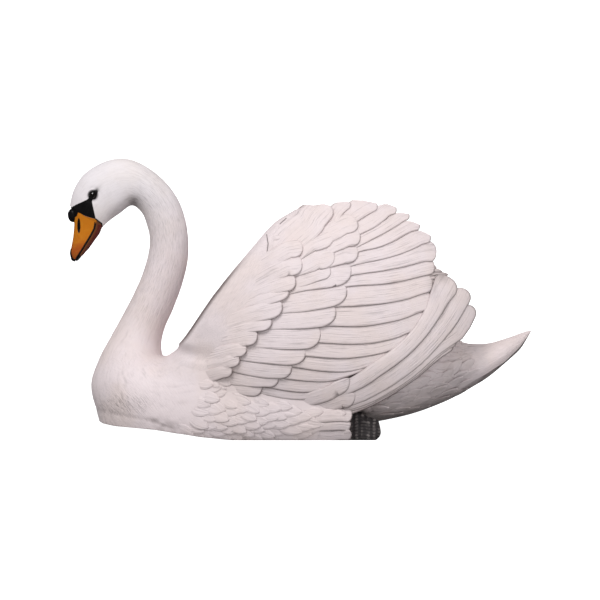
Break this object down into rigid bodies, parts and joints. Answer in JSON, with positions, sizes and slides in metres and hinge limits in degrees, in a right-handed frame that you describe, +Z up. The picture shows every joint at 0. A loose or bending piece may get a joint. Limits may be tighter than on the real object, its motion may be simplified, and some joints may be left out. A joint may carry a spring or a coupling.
{
  "type": "mute swan garden statue",
  "caption": "Life-size cast statue of a swan lying on its flat belly, neck in an S curve, wings raised in tiers of feathers, pointed tail.",
  "frame": {"origin": "centre of the bounding box on the floor under the belly", "axes": "+X from the bill towards the tail, +Y across the bird to its right side, +Z up"},
  "size_m": [0.905, 0.4142, 0.5486],
  "materials": {
    "body": "cream paint with a brown-grey wash in the grooves",
    "bill": "satin orange paint, redder at the tip",
    "black": "black paint",
    "foot": "dark grey paint"
  },
  "bodies": {
    "root": {"head": "body", "neck_upper": "body", "neck_middle": "body", "neck_lower": "body", "torso": "body", "tail": "body", "wing_left": "body", "wing_right": "body", "bill_upper": "bill", "bill_lower": "bill", "bill_knob": "black", "eye_left": "black", "eye_right": "black", "foot_left": "foot", "foot_right": "foot"}
  },
  "joints": []
}
